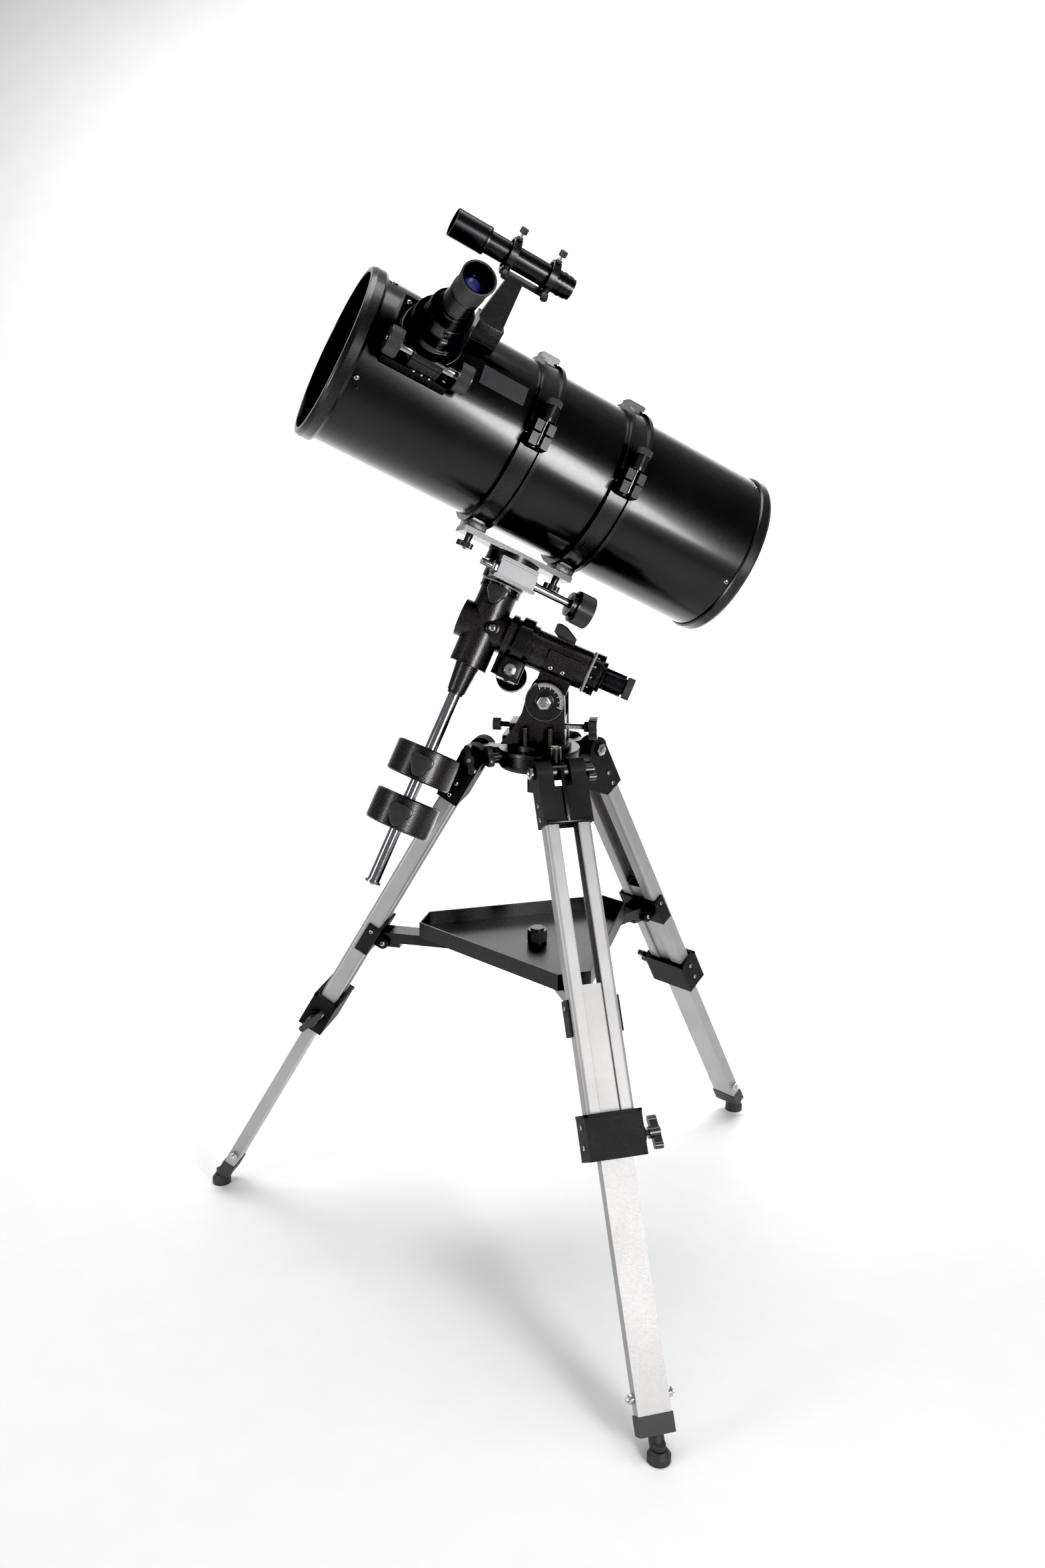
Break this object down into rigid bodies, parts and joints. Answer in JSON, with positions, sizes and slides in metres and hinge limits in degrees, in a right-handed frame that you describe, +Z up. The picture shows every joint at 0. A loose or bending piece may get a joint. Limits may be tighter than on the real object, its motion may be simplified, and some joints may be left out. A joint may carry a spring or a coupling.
{
  "type": "newtonian reflector telescope",
  "caption": "Newtonian reflector telescope on an equatorial mount with counterweights and an adjustable aluminium tripod.",
  "frame": {"origin": "on the floor, under the middle of the telescope bounding box", "axes": "+Z up; the polar axis rises toward -X in the XZ plane, -Y is the side facing the viewer"},
  "size_m": [0.8713, 0.9441, 1.487],
  "materials": {
    "black_enamel": "satin",
    "hammered_black": "hammered",
    "black_tube": "gloss",
    "aluminium": "satin",
    "chrome": "polished",
    "steel": "satin",
    "black_plastic": "matte",
    "rubber": "matte",
    "mirror": "polished",
    "anodised_black": "satin"
  },
  "bodies": {
    "tripod": {"tripod_head": "hammered_black", "bubble_level": "steel", "leg_hinge_bolts": "steel", "leg_front_castings": "black_enamel", "leg_front_rails": "aluminium", "leg_left_castings": "black_enamel", "leg_left_rails": "aluminium", "leg_right_castings": "black_enamel", "leg_right_rails": "aluminium", "spreader_arms": "black_plastic", "spreader_hub": "black_plastic", "tray": "black_plastic"},
    "centre_bolt": {"centre_bolt": "black_plastic"},
    "tray_knob": {"tray_knob": "black_plastic"},
    "mount_base": {"mount_base": "hammered_black", "altitude_bolt": "steel"},
    "latitude_screw_rear": {"latitude_screw_rear": "black_plastic"},
    "latitude_screw_front": {"latitude_screw_front": "black_plastic"},
    "polar_head": {"polar_housing": "hammered_black", "polar_scope": "anodised_black"},
    "ra_circle": {"ra_circle": "anodised_black"},
    "ra_lock": {"ra_lock": "black_plastic"},
    "dec_head": {"dec_housing": "hammered_black", "ra_worm_block": "hammered_black", "counterweight_shaft": "chrome"},
    "ra_knob": {"ra_knob": "black_plastic"},
    "dec_circle": {"dec_circle": "anodised_black"},
    "dec_lock": {"dec_lock_knob": "black_plastic"},
    "counterweight_upper": {"counterweight_upper": "hammered_black"},
    "counterweight_lower": {"counterweight_lower": "hammered_black"},
    "saddle": {"saddle": "hammered_black", "dec_worm_block": "aluminium", "ring_knobs": "black_plastic", "ring_bases": "hammered_black", "ring_tops": "hammered_black"},
    "dec_knob": {"dec_knob": "black_plastic"},
    "ring_clamp_front": {"ring_clamp_front": "black_plastic"},
    "ring_clamp_rear": {"ring_clamp_rear": "black_plastic"},
    "optical_tube": {"tube": "black_tube", "tube_end_rings": "hammered_black", "mirror_cell": "anodised_black", "primary_mirror": "mirror", "spider": "anodised_black", "secondary_mirror": "mirror", "focuser_base": "anodised_black", "finder_bracket": "hammered_black", "finder_scope": "anodised_black"},
    "drawtube": {"drawtube": "anodised_black"},
    "pinion": {"pinion": "anodised_black"},
    "eyepiece": {"eyepiece": "anodised_black"},
    "leg_front_extension": {"leg_front_extension": "aluminium", "leg_front_foot": "rubber"},
    "leg_front_knob": {"leg_front_knob": "black_plastic"},
    "leg_left_extension": {"leg_left_extension": "aluminium", "leg_left_foot": "rubber"},
    "leg_left_knob": {"leg_left_knob": "black_plastic"},
    "leg_right_extension": {"leg_right_extension": "aluminium", "leg_right_foot": "rubber"},
    "leg_right_knob": {"leg_right_knob": "black_plastic"}
  },
  "joints": [
    {"name": "azimuth_turn", "type": "hinge", "parent": "tripod", "child": "mount_base", "pos_m": [0.1071, 0.0277, 0.777], "axis": [0, 0, 1], "range_deg": [0, 20]},
    {"name": "centre_bolt_turn", "type": "hinge", "parent": "tripod", "child": "centre_bolt", "pos_m": [0.1071, 0.0277, 0.74], "axis": [0, 0, 1], "continuous": true},
    {"name": "tray_knob_turn", "type": "hinge", "parent": "tripod", "child": "tray_knob", "pos_m": [0.1071, 0.0277, 0.48], "axis": [0, 0, 1], "continuous": true},
    {"name": "latitude_tilt", "type": "hinge", "parent": "mount_base", "child": "polar_head", "pos_m": [0.1181, 0.0277, 0.848], "axis": [0, 1, 0], "range_deg": [0, 14]},
    {"name": "latitude_screw_rear_travel", "type": "slide", "parent": "mount_base", "child": "latitude_screw_rear", "axis": [-1, 0, 0], "range_m": [-0.0005, 0.0105]},
    {"name": "latitude_screw_front_travel", "type": "slide", "parent": "mount_base", "child": "latitude_screw_front", "axis": [-1, 0, 0], "range_m": [-0.0005, 0.0105]},
    {"name": "ra_turn", "type": "hinge", "parent": "polar_head", "child": "dec_head", "pos_m": [0.1071, 0.0277, 0.914], "axis": [-0.9272, 0, 0.3746], "range_deg": [0, 48]},
    {"name": "ra_circle_turn", "type": "hinge", "parent": "polar_head", "child": "ra_circle", "pos_m": [0.18127, 0.0277, 0.88403], "axis": [-0.9272, 0, 0.3746], "continuous": true},
    {"name": "ra_lock_turn", "type": "hinge", "parent": "polar_head", "child": "ra_lock", "pos_m": [0.10432, 0.0277, 0.91512], "axis": [-0.1281, 0.9397, -0.3171], "continuous": true},
    {"name": "ra_slow_motion", "type": "hinge", "parent": "dec_head", "child": "ra_knob", "pos_m": [0.06742, 0.0142, 0.88521], "axis": [-0.1158, 0.9511, -0.2865], "continuous": true},
    {"name": "dec_turn", "type": "hinge", "parent": "dec_head", "child": "saddle", "pos_m": [0.02829, 0.0277, 0.94584], "axis": [0.3563, 0.309, 0.8818], "continuous": true},
    {"name": "dec_circle_turn", "type": "hinge", "parent": "dec_head", "child": "dec_circle", "pos_m": [0.0486, 0.04531, 0.9961], "axis": [0.3563, 0.309, 0.8818], "continuous": true},
    {"name": "dec_lock_turn", "type": "hinge", "parent": "dec_head", "child": "dec_lock", "pos_m": [0.04432, 0.04161, 0.98552], "axis": [0.1158, -0.9511, 0.2865], "continuous": true},
    {"name": "dec_slow_motion", "type": "hinge", "parent": "saddle", "child": "dec_knob", "pos_m": [0.07096, 0.01912, 1.0178], "axis": [-0.8279, -0.3331, 0.4512], "continuous": true},
    {"name": "counterweight_upper_slide", "type": "slide", "parent": "dec_head", "child": "counterweight_upper", "axis": [0.3563, 0.309, 0.8818], "range_m": [-0.015, 0.012]},
    {"name": "counterweight_lower_slide", "type": "slide", "parent": "dec_head", "child": "counterweight_lower", "axis": [0.3563, 0.309, 0.8818], "range_m": [-0.06, 0.015]},
    {"name": "ring_clamp_front_swing", "type": "hinge", "parent": "saddle", "child": "ring_clamp_front", "pos_m": [0.11083, -0.04903, 1.20021], "axis": [0.8279, 0.3331, -0.4512], "range_deg": [0, 100]},
    {"name": "ring_clamp_rear_swing", "type": "hinge", "parent": "saddle", "child": "ring_clamp_rear", "pos_m": [0.22674, -0.0024, 1.13704], "axis": [0.8279, 0.3331, -0.4512], "range_deg": [0, 100]},
    {"name": "tube_roll", "type": "hinge", "parent": "saddle", "child": "optical_tube", "pos_m": [0.11522, 0.1031, 1.161], "axis": [-0.8279, -0.3331, 0.4512], "range_deg": [-15, 40]},
    {"name": "focus_pinion", "type": "hinge", "parent": "optical_tube", "child": "pinion", "pos_m": [-0.02071, -0.10663, 1.30196], "axis": [-0.8279, -0.3331, 0.4512], "range_deg": [-110, 360]},
    {"name": "focus_travel", "type": "slide", "parent": "optical_tube", "child": "drawtube", "axis": [0.522, -0.7517, 0.403], "range_m": [-0.0115, 0.0376]},
    {"name": "eyepiece_slide", "type": "slide", "parent": "drawtube", "child": "eyepiece", "axis": [0.522, -0.7517, 0.403], "range_m": [0, 0.032]},
    {"name": "leg_front_slide", "type": "slide", "parent": "tripod", "child": "leg_front_extension", "axis": [0.2046, -0.4595, -0.8643], "range_m": [-0.2, 0.02]},
    {"name": "leg_front_lock", "type": "hinge", "parent": "tripod", "child": "leg_front_knob", "pos_m": [0.28091, -0.26434, 0.33678], "axis": [0.9135, 0.4067, 0], "continuous": true},
    {"name": "leg_left_slide", "type": "slide", "parent": "tripod", "child": "leg_left_extension", "axis": [-0.5003, 0.0526, -0.8643], "range_m": [-0.2, 0.02]},
    {"name": "leg_left_lock", "type": "hinge", "parent": "tripod", "child": "leg_left_knob", "pos_m": [-0.23272, 0.0232, 0.33678], "axis": [-0.1045, -0.9945, 0], "continuous": true},
    {"name": "leg_right_slide", "type": "slide", "parent": "tripod", "child": "leg_right_extension", "axis": [0.2957, 0.407, -0.8643], "range_m": [-0.2, 0.02]},
    {"name": "leg_right_lock", "type": "hinge", "parent": "tripod", "child": "leg_right_knob", "pos_m": [0.27311, 0.32424, 0.33678], "axis": [-0.809, 0.5878, 0], "continuous": true}
  ],
  "couplings": [
    {"joint": "latitude_screw_rear_travel", "follows": "latitude_tilt", "m_per_rad": 0.041},
    {"joint": "latitude_screw_front_travel", "follows": "latitude_tilt", "m_per_rad": 0.041},
    {"joint": "focus_pinion", "follows": "focus_travel", "rad_per_m": 166.67}
  ]
}
